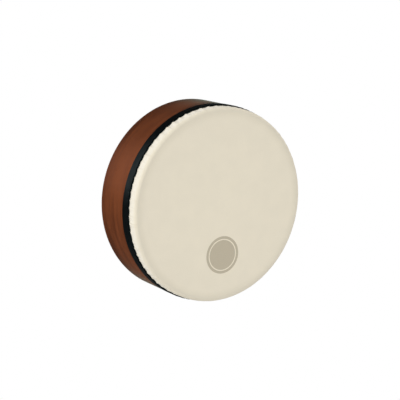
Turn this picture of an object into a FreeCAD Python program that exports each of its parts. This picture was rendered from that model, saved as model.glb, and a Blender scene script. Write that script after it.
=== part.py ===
import FreeCAD, Part
import Sketcher
import os

# A shallow frame drum with a head on one side and an open back.
#
# Row frame, in millimetres: +Z is up, the drum's axis is Y, the head faces -Y and the open back faces +Y.
# The origin is the centre of the drum: on its axis, halfway from the head's face to the open edge.
#
# The shell is five sheets of veneer glued up in a ring, each with its own butt seam. The outer sheet stops
# short of the front and leaves a seat one ply deep, and the whole is turned to one section: a round bearing
# edge in front of the seat and softened corners everywhere else. The head is one film, stretched over the
# bearing edge and glued down round the seat. A black band is wrapped round the rear part of the film's
# collar, which it hides, and stands a little proud of the wood behind it.
#
# Every piece is drawn with the drum's axis along its own Z, from 0 at the head's face to the full depth at
# the open edge, and its Placement then lays it along the row's Y.

# Driving dimensions, each with the alias that the expressions use.
SIZES = [
    ("shell_radius", 127.0),        # outside of the bare wood
    ("drum_depth", 82.5),           # from the head's face to the open edge
    ("ply_thickness", 1.8),         # each sheet of the shell
    ("bearing_radius", 4.0),        # round-over of the shell's outer edge, under the head
    ("arris_radius", 1.2),          # softened corners of the shell's other three edges
    ("seam_angle", 0.07),           # opening of each butt seam, in degrees
    ("film_thickness", 0.3),        # the head
    ("band_thickness", 1.9),        # the black band
    ("band_front", 14.3),           # from the head's face to the band's front edge
    ("seat_end", 28.0),             # and to its rear edge, where the seat and the collar end too
    ("print_radius", 24.5),         # the disc of ink on the head
    ("print_thickness", 0.05),
    ("print_right", 3.0),           # its centre, along +X from the drum's axis
    ("print_drop", 65.0),           # and down along -Z
]

# The sheets of the shell, from the outside in.
PLIES = ["outer_ply", "outer_crossband", "core_ply", "inner_crossband", "inner_ply"]
# Seams, in degrees about the axis from +X towards -Z, which is from the right towards the bottom.
FIRST_SEAM = 35.0       # the outer ply's
SEAM_STEP = 144.0       # each ply's seam lies this far round from the one outside it
BAND_SEAM = 75.0

# Places and radii that follow from the driving dimensions.
BORE_RADIUS = f"Sizes.shell_radius - {len(PLIES)} * Sizes.ply_thickness"
SEAT_RADIUS = "Sizes.shell_radius - Sizes.ply_thickness"
HEAD_RADIUS = f"{SEAT_RADIUS} + Sizes.film_thickness"
BAND_RADIUS = f"{HEAD_RADIUS} + Sizes.band_thickness"
SHOULDER_RADIUS = "Sizes.bearing_radius + Sizes.film_thickness"
WOOD_DEPTH = "Sizes.drum_depth - Sizes.film_thickness"


def make_sheet(doc):
    """The spreadsheet of driving dimensions, one alias to a row."""
    sheet = doc.addObject("Spreadsheet::Sheet", "Sizes")
    for row, (alias, value) in enumerate(SIZES, start=1):
        cell = f"A{row}"
        sheet.set(cell, str(value))
        sheet.setAlias(cell, alias)
    doc.recompute()
    return sheet


def lay_down(item, right="0", start="0", drop="0"):
    """Turn a finished piece from its own Z to the row's Y, with the drum's middle at the origin.

    right, start and drop are where its own origin then lies: to the right of the drum's axis, behind the
    head's face, and below the axis.
    """
    item.Placement = FreeCAD.Placement(
        FreeCAD.Vector(0, 0, 0), FreeCAD.Rotation(FreeCAD.Vector(1, 0, 0), -90)
    )
    item.setExpression("Placement.Base.x", right)
    item.setExpression("Placement.Base.y", f"{start} - Sizes.drum_depth / 2")
    item.setExpression("Placement.Base.z", f"-({drop})")
    return item


def cylinder(doc, name, radius, length, start="0"):
    """A cylinder along Z whose sizes are expressions."""
    item = doc.addObject("Part::Cylinder", name)
    item.setExpression("Radius", radius)
    item.setExpression("Height", length)
    item.setExpression("Placement.Base.z", start)
    return item


def wrapped_strip(doc, name, inner, outer, start, length, seam_at):
    """A flat strip bent into a ring, its two ends meeting in a butt seam at the angle seam_at."""
    outside = cylinder(doc, name + "_outside", outer, length, start)
    outside.Placement.Rotation = FreeCAD.Rotation(FreeCAD.Vector(0, 0, 1), seam_at)
    outside.setExpression("Angle", "360 - Sizes.seam_angle")
    strip = doc.addObject("Part::Cut", name)
    strip.Base = outside
    strip.Tool = cylinder(doc, name + "_inside", inner, length, start)
    return strip


def circle_sketch(body, name, start, radii):
    """Circles about the axis in the plane z = start of a body, their radii bound to the sheet."""
    plane = next(item for item in body.Origin.OriginFeatures if item.Role == "XY_Plane")
    sketch = body.newObject("Sketcher::SketchObject", name)
    sketch.AttachmentSupport = [(plane, "")]
    sketch.MapMode = "FlatFace"
    sketch.setExpression("AttachmentOffset.Base.z", start)
    for index, radius in enumerate(radii):
        rough = 100.0 + 10.0 * index
        sketch.addGeometry(Part.Circle(FreeCAD.Vector(), FreeCAD.Vector(0, 0, 1), rough), False)
        sketch.addConstraint(Sketcher.Constraint("Coincident", index, 3, -1, 1))
        held = sketch.addConstraint(Sketcher.Constraint("Radius", index, rough))
        sketch.renameConstraint(held, f"radius_{index}")
        sketch.setExpression(f"Constraints.radius_{index}", radius)
    return sketch


def add_pad(doc, body, name, start, length, radii):
    """Pad a disc for one radius, or a ring for two, from z = start."""
    sketch = circle_sketch(body, name + "_circles", start, radii)
    pad = body.newObject("PartDesign::Pad", name)
    pad.Profile = sketch
    pad.setExpression("Length", length)
    sketch.Visibility = False
    doc.recompute()
    return pad


def rim(shape, radius, height):
    """The name of the round edge of a shape with that radius at that height along the axis."""
    for number, edge in enumerate(shape.Edges, start=1):
        curve = edge.Curve
        if isinstance(curve, Part.Circle) and abs(curve.Radius - radius) < 0.01:
            if abs(curve.Center.z - height) < 0.01:
                return f"Edge{number}"
    raise ValueError(f"no round edge of radius {radius} at {height}")


def round_off(doc, body, radius, edges):
    """Fillet the named edges of a body's last feature."""
    last = body.Tip
    fillet = body.newObject("PartDesign::Fillet", f"{body.Name}_{len(body.Group)}")
    fillet.Base = (last, edges)
    fillet.setExpression("Radius", radius)
    doc.recompute()
    return fillet


def make_turned_section(doc, sheet):
    """The shell's outline as it is turned: the seated part and the full part behind it, then the edges."""
    bore = sheet.shell_radius - len(PLIES) * sheet.ply_thickness
    body = doc.addObject("PartDesign::Body", "turned_section")
    add_pad(doc, body, "seated_part", "Sizes.film_thickness", WOOD_DEPTH, [BORE_RADIUS, SEAT_RADIUS])
    bare_depth = "Sizes.drum_depth - Sizes.seat_end"
    add_pad(doc, body, "bare_part", "Sizes.seat_end", bare_depth, [BORE_RADIUS, "Sizes.shell_radius"])
    front_edge = rim(body.Shape, sheet.shell_radius - sheet.ply_thickness, sheet.film_thickness)
    round_off(doc, body, "Sizes.bearing_radius", [front_edge])
    softened = [
        rim(body.Shape, bore, sheet.film_thickness),
        rim(body.Shape, bore, sheet.drum_depth),
        rim(body.Shape, sheet.shell_radius, sheet.drum_depth),
    ]
    round_off(doc, body, "Sizes.arris_radius", softened)
    return body


def make_ply(doc, name, index, turned_section):
    """One sheet of the shell: a wrapped strip of veneer, cut to the turned section."""
    strip = wrapped_strip(
        doc,
        name + "_strip",
        inner=f"Sizes.shell_radius - {index + 1} * Sizes.ply_thickness",
        outer=f"Sizes.shell_radius - {index} * Sizes.ply_thickness",
        start="Sizes.film_thickness",
        length=WOOD_DEPTH,
        seam_at=FIRST_SEAM + SEAM_STEP * index,
    )
    ply = doc.addObject("Part::Common", name)
    ply.Base = strip
    ply.Tool = turned_section
    return lay_down(ply)


def make_drumhead(doc, sheet):
    """The head: a disc with a round shoulder, hollowed from behind to the film's thickness."""
    radius = sheet.shell_radius - sheet.ply_thickness + sheet.film_thickness
    body = doc.addObject("PartDesign::Body", "drumhead")
    add_pad(doc, body, "head_disc", "0", "Sizes.seat_end", [HEAD_RADIUS])
    round_off(doc, body, SHOULDER_RADIUS, [rim(body.Shape, radius, 0.0)])
    last = body.Tip
    back = max(range(len(last.Shape.Faces)), key=lambda item: last.Shape.Faces[item].CenterOfMass.z)
    film = body.newObject("PartDesign::Thickness", "head_hollow")
    film.Base = (last, [f"Face{back + 1}"])
    film.setExpression("Value", "Sizes.film_thickness")
    film.Reversed = True
    return lay_down(body)


def make_band(doc):
    """The black strip round the rear part of the head's collar."""
    band = wrapped_strip(
        doc,
        "rim_band",
        inner=HEAD_RADIUS,
        outer=BAND_RADIUS,
        start="Sizes.band_front",
        length="Sizes.seat_end - Sizes.band_front",
        seam_at=BAND_SEAM,
    )
    return lay_down(band)


def make_print(doc):
    """The disc of ink, whose back lies on the head's face."""
    disc = doc.addObject("Part::Cylinder", "printed_disc")
    disc.setExpression("Radius", "Sizes.print_radius")
    disc.setExpression("Height", "Sizes.print_thickness")
    return lay_down(disc, "Sizes.print_right", "-Sizes.print_thickness", "Sizes.print_drop")


def check_document(doc):
    """Stop if any object failed to build."""
    for item in doc.Objects:
        if {"Invalid", "Error"} & set(item.State):
            raise RuntimeError(f"{item.Name} is {item.State}")


def check_piece(piece):
    """Stop if a piece isn't one sound solid."""
    shape = piece.Shape
    if shape.isNull() or not shape.isValid() or len(shape.Solids) != 1:
        raise RuntimeError(f"{piece.Label} isn't one valid solid")


def main():
    doc = FreeCAD.newDocument("FrameDrum")
    sheet = make_sheet(doc)
    turned_section = make_turned_section(doc, sheet)
    pieces = [make_ply(doc, name, index, turned_section) for index, name in enumerate(PLIES)]
    pieces += [make_drumhead(doc, sheet), make_band(doc), make_print(doc)]
    doc.recompute()
    check_document(doc)
    os.makedirs("parts", exist_ok=True)
    for piece in pieces:
        check_piece(piece)
    for piece in pieces:
        piece.Shape.exportStep(f"parts/{piece.Label}.step")
        print(f"{piece.Label}: {piece.Shape.Volume / 1000:.1f} cm3")


main()
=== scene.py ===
import math
import random

import bpy
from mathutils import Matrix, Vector


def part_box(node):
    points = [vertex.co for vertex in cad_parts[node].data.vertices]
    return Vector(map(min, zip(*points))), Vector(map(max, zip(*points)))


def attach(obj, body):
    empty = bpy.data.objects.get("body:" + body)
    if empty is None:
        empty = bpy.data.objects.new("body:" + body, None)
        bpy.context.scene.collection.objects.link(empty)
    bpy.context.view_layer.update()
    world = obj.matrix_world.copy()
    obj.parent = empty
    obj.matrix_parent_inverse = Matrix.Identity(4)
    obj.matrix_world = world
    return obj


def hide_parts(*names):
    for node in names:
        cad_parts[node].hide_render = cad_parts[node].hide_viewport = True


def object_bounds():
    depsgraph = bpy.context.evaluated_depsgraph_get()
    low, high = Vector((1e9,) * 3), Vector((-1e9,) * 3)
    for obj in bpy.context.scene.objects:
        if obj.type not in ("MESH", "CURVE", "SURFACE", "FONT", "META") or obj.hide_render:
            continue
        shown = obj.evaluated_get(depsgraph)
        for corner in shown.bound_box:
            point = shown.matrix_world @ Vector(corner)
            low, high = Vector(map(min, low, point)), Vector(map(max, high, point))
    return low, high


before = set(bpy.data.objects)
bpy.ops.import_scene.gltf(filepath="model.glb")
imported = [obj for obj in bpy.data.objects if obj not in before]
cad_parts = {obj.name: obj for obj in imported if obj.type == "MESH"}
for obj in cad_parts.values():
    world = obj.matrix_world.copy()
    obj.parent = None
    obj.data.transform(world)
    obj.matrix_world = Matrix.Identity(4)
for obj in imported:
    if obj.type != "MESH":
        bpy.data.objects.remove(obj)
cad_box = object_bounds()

# A frame drum in a plain white studio. Metres throughout, in the CAD frame: +Z is up, the drum's axis is Y,
# the head faces -Y and the open back faces +Y. Angles round the axis run from +X towards -Z, as in the CAD.

MM = 0.001

# Places read from the frame.
HEAD_LOW, HEAD_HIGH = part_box("drumhead")
BAND_LOW, BAND_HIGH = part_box("rim_band")
WOOD_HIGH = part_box("outer_ply")[1]
PRINT_LOW, PRINT_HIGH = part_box("printed_disc")
FACE = HEAD_LOW.y                                   # the head's face
HEAD_RADIUS = HEAD_HIGH.x
SEAT_END = HEAD_HIGH.y                              # where the collar, the band and the seat all end
BAND_FRONT = BAND_LOW.y
BAND_RADIUS = BAND_HIGH.x
WOOD_RADIUS = WOOD_HIGH.x
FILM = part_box("inner_ply")[0].y - FACE              # the film's thickness
SHOULDER = 4.0 * MM + FILM                          # the bearing edge's radius, and the film over it

# The camera: where it stands round the drum, and where the head's centre then lies in its view.
CAMERA_AZIMUTH = -33.0
CAMERA_ELEVATION = 12.2
CAMERA_LENS = 111.56
HEAD_IN_VIEW = Vector((0.2060, -0.0563, -12.38))    # right, up and towards the camera, in radii of the wood

# The waved front edge of the band, and the ridges of gathered film that meet it at its cusps.
WAVES = 77
WAVE_COLUMNS = 12
WAVE_UNEVEN = 0.16              # how much one wave's width differs from the next, as a share
WAVE_HEIGHT = 1.4 * MM          # from the cusps to the crests between them
WAVE_HEIGHTS = (0.8, 1.15)      # the least and the most of that height that a wave may have
CUSP_SETBACK = 0.7 * WAVE_HEIGHT    # how far the cusps lie behind the band's mean front edge
SWELLS = 3                      # slow swells of the edge round the drum
SWELL_HEIGHT = 0.5 * MM
SWELL_AT = math.radians(236.0)  # where one of them is furthest back
RIDGE_HEIGHT = 1.35 * MM        # how far a ridge of film stands off the seat
RIDGE_HEIGHTS = (0.65, 1.15)    # the least and the most of that height that a ridge may have
RIDGE_FALL = 3.2 * MM           # the length over which it drops to pass under the band
RIDGE_REACHES = (8.0 * MM, 10.0 * MM, 12.0 * MM, 14.0 * MM, 17.0 * MM)  # how far it may run towards the face
GATHERS = 4                     # stretches of the edge where the film is gathered more
GATHER_UNEVEN = 0.5             # how much more, as a share
GATHER_AT = math.radians(-118.0)    # the middle of one stretch
CREASE_SHADE_AT = 0.14                # where the painted shade of the creases beside a ridge lies, as a share of the wave
CREASE_SHADE_WIDTH = 0.09
CREASE_SHADE_DARKNESS = (0.3, 1.0)    # the least and the most painted shade that a ridge's creases may have
FAINT_CREASE_SHADE = 0.4              # the share of that painted shade that a ridge's other side gets
BAND_SEAM = 75.0                # where the band's seam is, and its opening, in degrees as in the CAD
SEAM_WIDTH = 0.07


class Ridge:
    """One gathered ridge of film: its height, its reach towards the face, and how dark the painted shade in
    its creases is.
    """

    def __init__(self, dice):
        self.height = RIDGE_HEIGHT * dice.uniform(*RIDGE_HEIGHTS)
        self.reach = dice.choice(RIDGE_REACHES)
        self.crease_shade = dice.uniform(*CREASE_SHADE_DARKNESS)


class Wave:
    """One wave of the band's front edge, from its first cusp to the next, with the ridge at each."""

    def __init__(self, start, width, height, ridges):
        self.start = start
        self.width = width
        self.height = height
        self.ridges = ridges


def make_waves():
    """Waves of slightly uneven width and height, from one side of the band's seam round to the other."""
    dice = random.Random(5)
    shares = [1.0 + WAVE_UNEVEN * dice.uniform(-1.0, 1.0) for _ in range(WAVES)]
    turn = math.radians(360.0 - SEAM_WIDTH) / sum(shares)
    ridges = [Ridge(dice) for _ in range(WAVES)]
    ridges.append(ridges[0])
    start = math.radians(BAND_SEAM + SEAM_WIDTH / 2)
    waves = []
    for index, share in enumerate(shares):
        height = WAVE_HEIGHT * dice.uniform(*WAVE_HEIGHTS) * share
        waves.append(Wave(start, share * turn, height, ridges[index:index + 2]))
        start += share * turn
    return waves


class Column:
    """One line of the mesh along the drum's axis: its angle and its place across its wave, 0 to 1."""

    def __init__(self, wave, place):
        self.angle = wave.start + place * wave.width
        self.arch = (1.0 - (2.0 * place - 1.0) ** 2) ** 0.8     # 0 at the cusps, 1 at the crest
        swell = SWELL_HEIGHT * math.cos(SWELLS * (self.angle - SWELL_AT))
        self.edge = BAND_FRONT + CUSP_SETBACK - self.arch * wave.height + swell
        self.ridge = wave.ridges[0 if place < 0.5 else 1]
        gather = 1.0 + GATHER_UNEVEN * math.cos(GATHERS * (self.angle - GATHER_AT))
        self.pinch = gather * (0.5 + 0.5 * math.cos(2.0 * math.pi * place)) ** 1.4      # highest on a ridge
        # Painted shade: how dark the creases beside this ridge are drawn, deeper on one side than the other.
        deep = math.exp(-((place - CREASE_SHADE_AT) / CREASE_SHADE_WIDTH) ** 2)
        faint = math.exp(-((1.0 - place - CREASE_SHADE_AT) / CREASE_SHADE_WIDTH) ** 2)
        self.crease_shade = gather * self.ridge.crease_shade * (deep + FAINT_CREASE_SHADE * faint)

    def point(self, radius, y):
        return (radius * math.cos(self.angle), y, -radius * math.sin(self.angle))


def make_columns(waves):
    columns = [Column(wave, step / WAVE_COLUMNS) for wave in waves for step in range(WAVE_COLUMNS)]
    columns.append(Column(waves[-1], 1.0))
    return columns


def add_object(name, data):
    """A new object in the scene."""
    item = bpy.data.objects.new(name, data)
    bpy.context.scene.collection.objects.link(item)
    return item


def smooth(value, low, high):
    """0 below low, 1 above high, and a smooth rise between them."""
    share = min(1.0, max(0.0, (value - low) / (high - low)))
    return share * share * (3.0 - 2.0 * share)


def swept_mesh(name, columns, section, closed_round, poles=(), shade=None):
    """A mesh whose columns each carry the points that section(column) gives.

    A section that doesn't end in poles is a closed loop. With poles, its first and last points join those
    two points on the axis. shade(column, radius, y) gives each point's painted shade for the creases, kept
    in a point attribute.
    """
    points = []
    shades = []
    for column in columns:
        line = section(column)
        points += [column.point(radius, y) for radius, y in line]
        shades += [shade(column, radius, y) if shade else 0.0 for radius, y in line]
    rows = len(points) // len(columns)
    faces = []
    joins = len(columns) if closed_round else len(columns) - 1
    for index in range(joins):
        here = index * rows
        there = (index + 1) % len(columns) * rows
        for row in range(rows - 1 if poles else rows):
            after = (row + 1) % rows
            faces.append((here + row, there + row, there + after, here + after))
        if poles:
            first, last = len(points), len(points) + 1
            faces.append((first, there, here))
            faces.append((last, here + rows - 1, there + rows - 1))
    if not closed_round:
        faces.append(tuple(range(rows)))
        faces.append(tuple(reversed(range((len(columns) - 1) * rows, len(columns) * rows))))
    points += poles
    mesh = bpy.data.meshes.new(name)
    mesh.from_pydata(points, [], faces)
    mesh.validate()
    if shade:
        shades += [0.0] * len(poles)
        mesh.attributes.new("crease_shade", "FLOAT", "POINT").data.foreach_set("value", shades)
    mesh.polygons.foreach_set("use_smooth", [True] * len(mesh.polygons))
    mesh.update()
    return add_object(name, mesh)


# Where the rows of the head's mesh lie: radii on the flat face, steps round the shoulder, shares of the way
# from the shoulder to the band's front edge, and of the way from there to the film's cut edge.
FACE_RADII = [share * (HEAD_RADIUS - SHOULDER) for share in (0.12, 0.3, 0.5, 0.7, 0.84, 0.93, 0.98)]
SHOULDER_STEPS = 10
COLLAR_SHARES = (0.12, 0.25, 0.38, 0.5, 0.62, 0.72, 0.8, 0.86, 0.905, 0.94, 0.965, 0.985, 1.0)
HIDDEN_SHARES = (0.1, 0.4, 0.7, 1.0)


def film_line(column, inset):
    """The film's outline from near its centre to its cut edge, inset from its outside."""
    line = [(radius, FACE + inset) for radius in FACE_RADII]
    centre_radius = HEAD_RADIUS - SHOULDER
    centre_y = FACE + SHOULDER
    bend = SHOULDER - inset
    for step in range(SHOULDER_STEPS + 1):
        angle = math.pi / 2 * step / SHOULDER_STEPS
        line.append((centre_radius + bend * math.sin(angle), centre_y - bend * math.cos(angle)))
    collar_radius = centre_radius + bend
    line += [(collar_radius, centre_y + share * (column.edge - centre_y)) for share in COLLAR_SHARES]
    line += [(collar_radius, column.edge + share * (SEAT_END - column.edge)) for share in HIDDEN_SHARES]
    return [(radius + film_rise(column, radius + inset, y), y) for radius, y in line]


def film_rise(column, radius, y):
    """How far the film stands off the seat, at a place given by its outside radius."""
    ahead = column.edge - y
    left = max(0.0, 1.0 - ahead / column.ridge.reach) ** 1.2
    rise = column.ridge.height * column.pinch * left * smooth(ahead, 0.0, RIDGE_FALL)
    return rise * smooth(radius, HEAD_RADIUS - SHOULDER, HEAD_RADIUS)


def film_crease_shade(column, radius, y):
    """How dark the painted shade in the creases beside a ridge is. It fades out where the shoulder meets the
    flat face.
    """
    ahead = max(0.0, column.edge - y)
    left = max(0.0, 1.0 - ahead / column.ridge.reach) ** 0.8
    fade = smooth(radius, HEAD_RADIUS - 1.4 * SHOULDER, HEAD_RADIUS - 0.4 * SHOULDER)
    return column.crease_shade * left * fade


def film_section(column):
    outside = film_line(column, 0.0)
    inside = film_line(column, FILM)
    return outside + inside[::-1]


def make_head(columns):
    poles = [(0.0, FACE, 0.0), (0.0, FACE + FILM, 0.0)]
    return swept_mesh("head_film", columns, film_section, True, poles, film_crease_shade)


BAND_FRONT_ROUND = 1.1 * MM     # the band's rounded front edge
BAND_BACK_ROUND = 0.35 * MM
BAND_CUSP_DIP = 0.25 * MM       # how much lower the band is behind a cusp
BAND_ROWS = 8
ROUND_STEPS = 5


def band_section(column):
    """The band's closed outline: up the front edge, back along the outside, down the rear edge."""
    outer = BAND_RADIUS - BAND_CUSP_DIP * (1.0 - column.arch)
    start = column.edge + BAND_FRONT_ROUND
    end = SEAT_END - BAND_BACK_ROUND
    turns = [math.pi / 2 * step / ROUND_STEPS for step in range(ROUND_STEPS + 1)]
    line = [(HEAD_RADIUS, column.edge)]
    for turn in turns:
        line.append((
            outer - BAND_FRONT_ROUND * (1.0 - math.sin(turn)),
            start - BAND_FRONT_ROUND * math.cos(turn),
        ))
    for row in range(1, BAND_ROWS):
        share = row / BAND_ROWS
        line.append((outer + (BAND_RADIUS - outer) * smooth(share, 0.0, 0.5), start + (end - start) * share))
    for turn in turns:
        line.append((
            BAND_RADIUS - BAND_BACK_ROUND * (1.0 - math.cos(turn)),
            end + BAND_BACK_ROUND * math.sin(turn),
        ))
    line.append((HEAD_RADIUS, SEAT_END))
    return line


def make_band(columns):
    return swept_mesh("band_strip", columns, band_section, False)


INK_STEPS = 96
INK_GAP = (0.80, 0.86)      # the unprinted ring inside the disc, as shares of its radius


def make_print():
    """The disc of ink: a plain disc and a thin ring round it, with the film showing between them."""
    centre = (PRINT_LOW + PRINT_HIGH) / 2
    radius = (PRINT_HIGH.x - PRINT_LOW.x) / 2
    points = []
    faces = []

    def loop(share, y):
        start = len(points)
        for step in range(INK_STEPS):
            angle = 2 * math.pi * step / INK_STEPS
            right = centre.x + share * radius * math.cos(angle)
            up = centre.z + share * radius * math.sin(angle)
            points.append((right, y, up))
        return start

    def join(first, second):
        for step in range(INK_STEPS):
            after = (step + 1) % INK_STEPS
            faces.append((first + step, first + after, second + after, second + step))

    top, back = PRINT_LOW.y, PRINT_HIGH.y
    rings = [loop(1.0, back), loop(1.0, top), loop(INK_GAP[1], top), loop(INK_GAP[1], back)]
    for index, ring in enumerate(rings):
        join(ring, rings[(index + 1) % len(rings)])
    disc_back, disc_top = loop(INK_GAP[0], back), loop(INK_GAP[0], top)
    join(disc_back, disc_top)
    faces.append(tuple(disc_top + step for step in range(INK_STEPS)))
    faces.append(tuple(disc_back + step for step in reversed(range(INK_STEPS))))
    mesh = bpy.data.meshes.new("ink")
    mesh.from_pydata(points, [], faces)
    mesh.validate()
    mesh.update()
    return add_object("ink", mesh)


class Nodes:
    """A short way to write a material's nodes."""

    def __init__(self, name):
        self.material = bpy.data.materials.new(name)
        self.material.use_nodes = True
        self.tree = self.material.node_tree
        self.tree.nodes.clear()

    def add(self, kind, inputs=None, **settings):
        node = self.tree.nodes.new(kind)
        for key, value in settings.items():
            setattr(node, key, value)
        for key, value in (inputs or {}).items():
            if isinstance(value, bpy.types.NodeSocket):
                self.tree.links.new(value, node.inputs[key])
            else:
                node.inputs[key].default_value = value
        return node

    def position(self):
        return self.add("ShaderNodeTexCoord").outputs["Object"]

    def noise(self, vector, scale, detail=3.0, roughness=0.5, shift=(0.0, 0.0, 0.0)):
        """Noise whose grains are 1 / scale long along X, Y and Z, moved by shift grains."""
        spread = self.add("ShaderNodeMapping", {"Vector": vector, "Scale": scale, "Location": shift})
        made = self.add(
            "ShaderNodeTexNoise",
            {"Vector": spread.outputs[0], "Scale": 1.0, "Detail": detail, "Roughness": roughness},
        )
        return made.outputs["Fac"]

    def math(self, operation, first, second=0.0, third=0.0):
        made = self.add("ShaderNodeMath", {0: first, 1: second, 2: third}, operation=operation)
        return made.outputs[0]

    def span(self, value, low, high, to_low=0.0, to_high=1.0):
        made = self.add(
            "ShaderNodeMapRange",
            {"Value": value, "From Min": low, "From Max": high, "To Min": to_low, "To Max": to_high},
            interpolation_type="SMOOTHSTEP",
        )
        return made.outputs[0]

    def ramp(self, value, stops):
        made = self.add("ShaderNodeValToRGB", {"Fac": value})
        ramp = made.color_ramp
        while len(ramp.elements) < len(stops):
            ramp.elements.new(0.5)
        for element, (place, colour) in zip(ramp.elements, stops):
            element.position = place
            element.color = (*colour, 1.0)
        return made.outputs["Color"]

    def mix(self, share, first, second, blend="MIX"):
        made = self.add("ShaderNodeMix", data_type="RGBA", blend_type=blend)
        for key, value in ((0, share), (6, first), (7, second)):
            if isinstance(value, bpy.types.NodeSocket):
                self.tree.links.new(value, made.inputs[key])
            elif key == 0:
                made.inputs[key].default_value = value
            else:
                made.inputs[key].default_value = (*value, 1.0)
        return made.outputs[2]

    def toned(self, share, colour, tone):
        """The colour, multiplied by tone where share is 1."""
        return self.mix(share, colour, self.mix(1.0, colour, tone, "MULTIPLY"))

    def bump(self, height, distance, strength):
        made = self.add("ShaderNodeBump", {"Height": height, "Distance": distance, "Strength": strength})
        return made.outputs["Normal"]

    def finish(self, shader):
        self.add("ShaderNodeOutputMaterial", {"Surface": shader})
        return self.material


WANDER = 14 * MM                # how far the grain may wander along the drum's axis
STREAK_SHARE = 0.45             # how much of the wood's tone its streaks make
FIGURE_SHARE = 0.15             # and its broader figure
CLOUD_SHARE = 0.40              # and the lighter and darker clouds, partly stain and partly painted shade
CLOUD_SHIFT = (23.3, 25.4, 29.4)    # where the clouds lie, placed so that a darker cloud paints shade over the upper side of the drum's outside
DARK_BACK = 26 * MM             # the length over which the wood's colour darkens towards the open edge
DARK_BACK_TONE = (0.73, 0.71, 0.69)
PORE_SHARE = 0.5                # how far a pore's colour is from the wood's to its own
GRAIN_DEPTH = 0.03 * MM
LACQUER_TINT = (1.0, 0.26, 0.08, 1.0)
WOOD_HAZE_TINT = (0.70, 0.97, 0.80, 1.0)


def wood_material(name, dark, light, roughness, along=True):
    """Stained veneer under satin lacquer. The grain runs round the drum, or along its axis."""
    nodes = Nodes(name)
    place = nodes.position()
    drift = nodes.noise(place, (9.0, 9.0, 9.0), detail=1.0)
    shift = nodes.add("ShaderNodeCombineXYZ", {"Y": nodes.math("MULTIPLY", drift, WANDER)})
    moved = nodes.add("ShaderNodeVectorMath", {0: place, 1: shift.outputs[0]}, operation="ADD")
    wandering = moved.outputs[0]
    slow, fast = (14.0, 260.0) if along else (260.0, 14.0)
    streaks = nodes.noise(wandering, (slow, fast, slow), detail=4.0, roughness=0.62)
    figure = nodes.noise(wandering, (0.4 * slow, 0.3 * fast, 0.4 * slow), detail=2.0)
    # stain and painted shade: large clouds of lighter and darker tone, placed so a darker one lies over the
    # drum's upper side
    stain_and_shade_cloud = nodes.noise(place, (11.0, 11.0, 11.0), detail=1.0, shift=CLOUD_SHIFT)
    tone = nodes.math("MULTIPLY", figure, FIGURE_SHARE)
    tone = nodes.math("MULTIPLY_ADD", streaks, STREAK_SHARE, tone)
    tone = nodes.math("MULTIPLY_ADD", stain_and_shade_cloud, CLOUD_SHARE, tone)
    colour = nodes.ramp(nodes.span(tone, 0.38, 0.62), [(0.0, dark), (1.0, light)])
    slim, fine = (90.0, 1500.0) if along else (1500.0, 90.0)
    pores = nodes.span(nodes.noise(wandering, (slim, fine, slim), detail=1.0), 0.60, 0.72)
    pore_colour = [0.4 * channel for channel in dark]
    colour = nodes.mix(nodes.math("MULTIPLY", pores, PORE_SHARE), colour, pore_colour)
    axial = nodes.add("ShaderNodeSeparateXYZ", {0: place}).outputs[1]
    behind = nodes.span(axial, WOOD_HIGH.y - DARK_BACK, WOOD_HIGH.y)
    colour = nodes.toned(behind, colour, DARK_BACK_TONE)
    rough = nodes.span(streaks, 0.3, 0.7, roughness - 0.05, roughness + 0.07)
    height = nodes.math("SUBTRACT", streaks, nodes.math("MULTIPLY", pores, 0.6))
    shader = nodes.add("ShaderNodeBsdfPrincipled", {
        "Base Color": colour,
        "Roughness": rough,
        "IOR": 1.8,
        "Specular IOR Level": 1.0,
        "Specular Tint": LACQUER_TINT,
        "Sheen Weight": 0.2,
        "Sheen Roughness": 0.2,
        "Sheen Tint": WOOD_HAZE_TINT,
        "Normal": nodes.bump(height, GRAIN_DEPTH, 0.5),
    })
    return nodes.finish(shader.outputs[0])


BAND_DARK = (0.0007, 0.0014, 0.0016)
BAND_LIGHT = (0.0013, 0.0023, 0.0025)
BAND_TINT = (0.52, 0.92, 1.0, 1.0)
BAND_HAZE_TINT = (0.7, 1.0, 1.0, 1.0)
THREAD_DEPTH = 0.05 * MM


def band_material():
    """Near-black satin strip, very slightly blue-green, with faint threads along the drum's axis."""
    nodes = Nodes("black_satin")
    place = nodes.position()
    wear = nodes.noise(place, (70.0, 160.0, 70.0), detail=3.0)
    threads = nodes.noise(place, (800.0, 60.0, 800.0), detail=2.0)
    height = nodes.math("MULTIPLY_ADD", threads, 0.6, wear)
    colour = nodes.ramp(nodes.span(wear, 0.3, 0.7), [(0.0, BAND_DARK), (1.0, BAND_LIGHT)])
    shader = nodes.add("ShaderNodeBsdfPrincipled", {
        "Base Color": colour,
        "Roughness": nodes.span(wear, 0.3, 0.7, 0.30, 0.40),
        "IOR": 1.5,
        "Specular IOR Level": 0.3,
        "Specular Tint": BAND_TINT,
        "Sheen Weight": 0.03,
        "Sheen Roughness": 0.2,
        "Sheen Tint": BAND_HAZE_TINT,
        "Normal": nodes.bump(height, THREAD_DEPTH, 0.5),
    })
    return nodes.finish(shader.outputs[0])


FILM_COLOUR = (0.792, 0.735, 0.604)
FILM_GLOW = 0.2                 # how much of the film's brightness is light from behind it
FIBRE_DEPTH = 0.02 * MM
SHELL_SHADE_FROM = HEAD_RADIUS - 15 * MM     # painted shade: the face darkens from here, a little inside the shell's bore, to here, where the shell behind it blocks the light coming through the film
SHELL_SHADE_FULL = HEAD_RADIUS - 6 * MM     # to here, where the shell stands behind it
SHELL_SHADE_TONE = (0.955, 0.95, 0.938)
# painted highlight: a whiter, bluer tint on the collar stands in for the gloss on it
COLLAR_HIGHLIGHT_TONE = (0.985, 1.0, 1.05)
# painted shade for the creases beside the film's ridges
CREASE_SHADE_TONE = (0.80, 0.77, 0.71)


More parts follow.
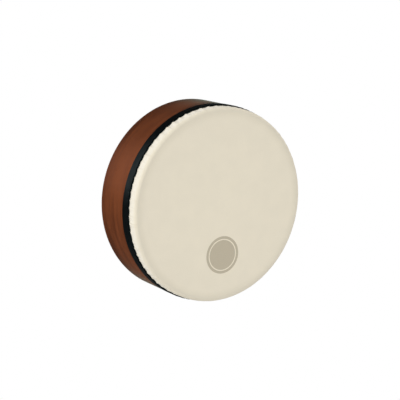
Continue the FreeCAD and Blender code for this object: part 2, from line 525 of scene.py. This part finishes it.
def film_material():
    """Cream film with faint fibres, with painted shade in its creases and where the shell behind it blocks
    the light, and a painted highlight tint on its collar.
    """
    nodes = Nodes("cream_film")
    place = nodes.position()
    split = nodes.add("ShaderNodeSeparateXYZ", {0: place})
    flat = nodes.add("ShaderNodeCombineXYZ", {"X": split.outputs[0], "Z": split.outputs[2]})
    radius = nodes.add("ShaderNodeVectorMath", {0: flat.outputs[0]}, operation="LENGTH").outputs["Value"]
    # painted shade: the face is darker near its rim, where the shell behind the film blocks the light coming
    # through it
    shell_shade = nodes.span(radius, SHELL_SHADE_FROM, SHELL_SHADE_FULL)
    collar = nodes.span(split.outputs[1], FACE + 0.3 * SHOULDER, FACE + 1.2 * SHOULDER)
    shell_shade = nodes.math("MULTIPLY", shell_shade, nodes.math("SUBTRACT", 1.0, collar))
    fibres = nodes.noise(place, (900.0, 900.0, 900.0), detail=4.0, roughness=0.65)
    clouds = nodes.noise(place, (60.0, 60.0, 60.0), detail=3.0)
    tone = nodes.math("MULTIPLY_ADD", fibres, 0.5, nodes.math("MULTIPLY", clouds, 0.5))
    low = [0.985 * channel for channel in FILM_COLOUR]
    high = [1.012 * channel for channel in FILM_COLOUR]
    colour = nodes.ramp(nodes.span(tone, 0.35, 0.65), [(0.0, low), (1.0, high)])
    colour = nodes.toned(shell_shade, colour, SHELL_SHADE_TONE)
    # painted highlight: the collar's whiter, bluer tint stands in for its gloss
    colour = nodes.toned(collar, colour, COLLAR_HIGHLIGHT_TONE)
    # painted shade in the creases beside the film's ridges
    crease_shade = nodes.add("ShaderNodeAttribute", attribute_name="crease_shade").outputs["Fac"]
    colour = nodes.toned(crease_shade, colour, CREASE_SHADE_TONE)
    normal = nodes.bump(fibres, FIBRE_DEPTH, 0.35)
    shader = nodes.add("ShaderNodeBsdfPrincipled", {
        "Base Color": colour,
        "Roughness": 0.55,
        "IOR": 1.5,
        "Specular IOR Level": 0.3,
        "Normal": normal,
    })
    glow = nodes.add("ShaderNodeBsdfTranslucent", {"Color": colour, "Normal": normal})
    both = nodes.add("ShaderNodeMixShader", {0: FILM_GLOW, 1: shader.outputs[0], 2: glow.outputs[0]})
    return nodes.finish(both.outputs[0])


INK_DARK = (0.42, 0.372, 0.278)
INK_LIGHT = (0.45, 0.398, 0.30)


def ink_material():
    """Flat grey-brown ink, slightly uneven as screen printing is."""
    nodes = Nodes("grey_ink")
    grain = nodes.noise(nodes.position(), (700.0, 700.0, 700.0), detail=3.0)
    colour = nodes.ramp(nodes.span(grain, 0.3, 0.7), [(0.0, INK_DARK), (1.0, INK_LIGHT)])
    shader = nodes.add("ShaderNodeBsdfPrincipled", {
        "Base Color": colour,
        "Roughness": nodes.span(grain, 0.3, 0.7, 0.5, 0.6),
        "IOR": 1.45,
        "Specular IOR Level": 0.3,
    })
    return nodes.finish(shader.outputs[0])


def paint(piece, material):
    """Give a piece this one material, on its object's slots, so that a CAD mesh isn't touched."""
    if not piece.material_slots:
        piece.data.materials.append(None)
    for slot in piece.material_slots:
        slot.link = "OBJECT"
        slot.material = material


def make_camera():
    data = bpy.data.cameras.new("camera")
    data.sensor_width = 36.0
    data.lens = CAMERA_LENS
    data.clip_end = 200.0
    camera = add_object("camera", data)
    camera.rotation_euler = (math.radians(90.0 - CAMERA_ELEVATION), 0.0, math.radians(CAMERA_AZIMUTH))
    head_centre = Vector((0.0, FACE, 0.0))
    camera.location = head_centre - camera.rotation_euler.to_matrix() @ (HEAD_IN_VIEW * WOOD_RADIUS)
    bpy.context.scene.camera = camera


# The softboxes: name, place in metres from the drum's centre, width, height, power, and if it's a gleam. A
# gleam shows in the surfaces' gloss only. Any other lights their colour and doesn't show in their gloss.
SOFTBOXES = [
    ("left_softbox", (-2.4, -0.1, 0.3), 1.6, 1.4, 29.0, False),
    ("back_left_gleam", (-1.33, 1.94, 0.85), 1.1, 1.6, 3.5, True),
]
# How bright the backdrop and the floor are, where a surface's colour and where its gloss picks them up.
BACKDROP_ON_COLOUR = 1.19
BACKDROP_IN_GLOSS = 0.03
FLOOR_ON_COLOUR = 0.98
FLOOR_IN_GLOSS = 0.035
FLOOR_SIZE = 80.0


def make_light(name, place, width, height, power, gleam):
    """A softbox at place, facing the drum. A gleam shows only in gloss, any other light only on colour."""
    data = bpy.data.lights.new(name, "AREA")
    data.shape = "RECTANGLE"
    data.size = width
    data.size_y = height
    data.energy = power
    light = add_object(name, data)
    light.location = place
    light.rotation_euler = (-Vector(place)).to_track_quat("-Z", "Y").to_euler()
    light.visible_glossy = gleam
    light.visible_diffuse = not gleam
    light.visible_transmission = not gleam


def surroundings(tree, kind, on_colour, in_gloss):
    """A shader that is white to the camera and has its own brightness for colour and for gloss."""
    path = tree.nodes.new("ShaderNodeLightPath")
    shaders = []
    for strength in (on_colour, in_gloss, 1.0):
        shader = tree.nodes.new(kind)
        shader.inputs["Color"].default_value = (1.0, 1.0, 1.0, 1.0)
        shader.inputs["Strength"].default_value = strength
        shaders.append(shader.outputs[0])
    shown = shaders[0]
    for ray, shader in (("Is Glossy Ray", shaders[1]), ("Is Camera Ray", shaders[2])):
        mix = tree.nodes.new("ShaderNodeMixShader")
        tree.links.new(path.outputs[ray], mix.inputs[0])
        tree.links.new(shown, mix.inputs[1])
        tree.links.new(shader, mix.inputs[2])
        shown = mix.outputs[0]
    return shown


def make_world():
    """A white backdrop."""
    world = bpy.data.worlds.new("studio")
    bpy.context.scene.world = world
    world.use_nodes = True
    tree = world.node_tree
    tree.nodes.clear()
    output = tree.nodes.new("ShaderNodeOutputWorld")
    shown = surroundings(tree, "ShaderNodeBackground", BACKDROP_ON_COLOUR, BACKDROP_IN_GLOSS)
    tree.links.new(shown, output.inputs["Surface"])


def make_floor():
    """A plain white floor under the drum's lowest point."""
    half = FLOOR_SIZE / 2
    height = cad_box[0].z
    corners = [(right * half, back * half, height) for right, back in ((-1, -1), (1, -1), (1, 1), (-1, 1))]
    mesh = bpy.data.meshes.new("floor")
    mesh.from_pydata(corners, [], [(0, 1, 2, 3)])
    floor = add_object("floor", mesh)
    nodes = Nodes("white_floor")
    shown = surroundings(nodes.tree, "ShaderNodeEmission", FLOOR_ON_COLOUR, FLOOR_IN_GLOSS)
    paint(floor, nodes.finish(shown))


def add_piece(piece, node, material):
    paint(piece, material)
    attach(piece, "root")
    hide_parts(node)
    return piece


make_camera()
make_world()
make_floor()
for softbox in SOFTBOXES:
    make_light(*softbox)

columns = make_columns(make_waves())
head = add_piece(make_head(columns), "drumhead", film_material())
add_piece(make_band(columns), "rim_band", band_material())
add_piece(make_print(), "printed_disc", ink_material())

outer = wood_material("stained_outer", (0.054, 0.0138, 0.0040), (0.136, 0.0378, 0.0116), 0.43)
inner = wood_material("stained_inner", (0.085, 0.032, 0.015), (0.19, 0.075, 0.035), 0.5)
core = wood_material("core", (0.16, 0.075, 0.035), (0.30, 0.16, 0.08), 0.5)
cross = wood_material("crossband", (0.10, 0.042, 0.02), (0.20, 0.09, 0.045), 0.5, along=False)
PLY_MATERIALS = {
    "outer_ply": outer,
    "outer_crossband": cross,
    "core_ply": core,
    "inner_crossband": cross,
    "inner_ply": inner,
}
for node, material in PLY_MATERIALS.items():
    paint(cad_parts[node], material)

bpy.context.scene.view_settings.view_transform = "Standard"
